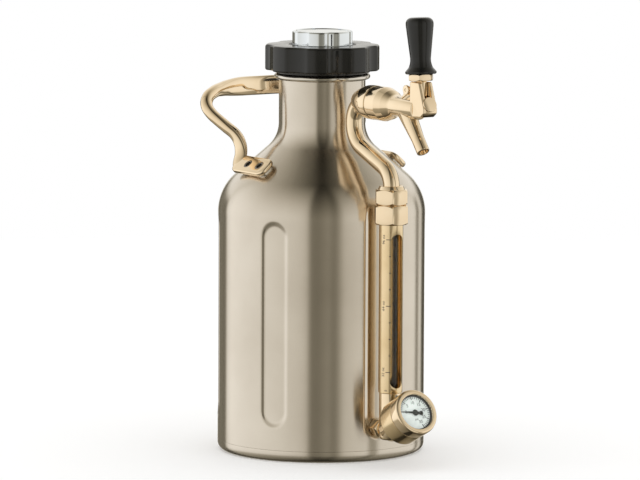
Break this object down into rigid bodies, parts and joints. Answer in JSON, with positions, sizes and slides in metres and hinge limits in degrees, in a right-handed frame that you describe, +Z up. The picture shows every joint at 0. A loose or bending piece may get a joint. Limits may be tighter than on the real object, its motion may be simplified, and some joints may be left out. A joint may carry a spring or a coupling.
{
  "type": "mini keg beer dispenser",
  "caption": "Vacuum-insulated steel keg with a screw cap regulator and gas cartridge, side sight tube, pressure gauge, riser, lever tap and wishbone carry handle.",
  "frame": {"origin": "centre of the plane the base rests on", "axes": "+Z up along the keg's axis, -Y the side with the tap, gauge and sight tube, +X the right hand of someone facing the tap from the keg's back"},
  "size_m": [0.161, 0.247, 0.3468],
  "materials": {
    "steel": "brushed stainless steel with vertical grain",
    "steel_inner": "plain stainless steel",
    "cap_black": "black moulded plastic, satin",
    "chrome": "bright chrome",
    "rubber": "moulded rubber",
    "aluminium": "turned aluminium",
    "spring_steel": "bright steel",
    "gold": "polished brass",
    "satin_brass": "satin brass",
    "glass": "clear",
    "dial_white": "white enamel",
    "needle_black": "black enamel"
  },
  "bodies": {
    "keg": {"outer_shell": "steel", "shoulder_shell": "steel", "neck_shell": "steel", "base_cover": "steel", "vacuum_seal_cap": "steel_inner", "inner_floor": "steel_inner", "inner_vessel": "steel_inner", "inner_shoulder": "steel_inner", "inner_neck": "steel_inner", "mouth_ring": "steel", "outlet_boss": "steel", "outlet_nut": "satin_brass", "outlet_seal": "rubber", "manifold_body": "satin_brass", "guard_screw": "spring_steel", "sight_guard": "satin_brass", "sight_glass": "glass", "sight_seals": "rubber", "coupling_body": "gold", "union_nut": "gold", "riser_tube": "gold", "tap_elbow": "gold", "tap_body": "gold", "front_plug": "gold", "lever_pin": "spring_steel", "gauge_case": "satin_brass", "gauge_bezel": "satin_brass", "gauge_lens": "glass", "gauge_dial": "dial_white", "gauge_movement": "satin_brass", "bourdon_tube": "satin_brass", "handle_pads": "steel", "handle_screws": "spring_steel", "carry_handle": "gold"},
    "regulator": {"regulator_body": "aluminium", "piercing_lance": "spring_steel", "valve_poppet": "spring_steel", "relief_valve": "satin_brass", "diaphragm": "rubber", "backing_plate": "aluminium", "regulator_bonnet": "aluminium", "regulator_spring": "spring_steel", "cap_gasket": "rubber"},
    "cap": {"cap_shell": "cap_black"},
    "dial": {"pressure_dial": "chrome", "adjusting_screw": "chrome"},
    "spring_nut": {"spring_nut": "spring_steel"},
    "sleeve": {"cartridge_sleeve": "aluminium", "gas_cartridge": "spring_steel"},
    "lever": {"tap_lever": "gold", "lever_ferrule": "gold", "tap_grip": "cap_black"},
    "plunger": {"valve_plunger": "gold", "valve_seal": "rubber"},
    "lock": {"lock_knob": "gold"},
    "needle": {"gauge_needle": "needle_black"}
  },
  "joints": [
    {"name": "cap_lift", "type": "slide", "parent": "keg", "child": "regulator", "axis": [0, 0, 1], "range_m": [0, 0.125]},
    {"name": "cap_turn", "type": "hinge", "parent": "regulator", "child": "cap", "pos_m": [0, 0, 0.3], "axis": [0, 0, 1], "range_deg": [0, 540]},
    {"name": "dial_turn", "type": "hinge", "parent": "regulator", "child": "dial", "pos_m": [0, 0, 0.32], "axis": [0, 0, 1], "range_deg": [0, 270]},
    {"name": "spring_nut_travel", "type": "slide", "parent": "regulator", "child": "spring_nut", "axis": [0, 0, -1], "range_m": [0, 0.00095], "deforming": ["regulator_spring"]},
    {"name": "sleeve_off", "type": "slide", "parent": "regulator", "child": "sleeve", "axis": [0, 0, -1], "range_m": [0, 0.1]},
    {"name": "lever_pull", "type": "hinge", "parent": "keg", "child": "lever", "pos_m": [0, -0.1381, 0.284], "axis": [1, 0, 0], "range_deg": [0, 28]},
    {"name": "plunger_travel", "type": "slide", "parent": "keg", "child": "plunger", "axis": [0, 1, 0], "range_m": [0, 0.0035]},
    {"name": "lock_turn", "type": "hinge", "parent": "keg", "child": "lock", "pos_m": [0, -0.1264, 0.2911], "axis": [1, 0, 0], "range_deg": [0, 90]},
    {"name": "needle_sweep", "type": "hinge", "parent": "keg", "child": "needle", "pos_m": [0, -0.0976, 0.027], "axis": [0, 0.891, -0.454], "range_deg": [0, 240]}
  ],
  "couplings": [
    {"joint": "spring_nut_travel", "follows": "dial_turn", "m_per_rad": 0.0002},
    {"joint": "plunger_travel", "follows": "lever_pull", "m_per_rad": 0.007}
  ]
}
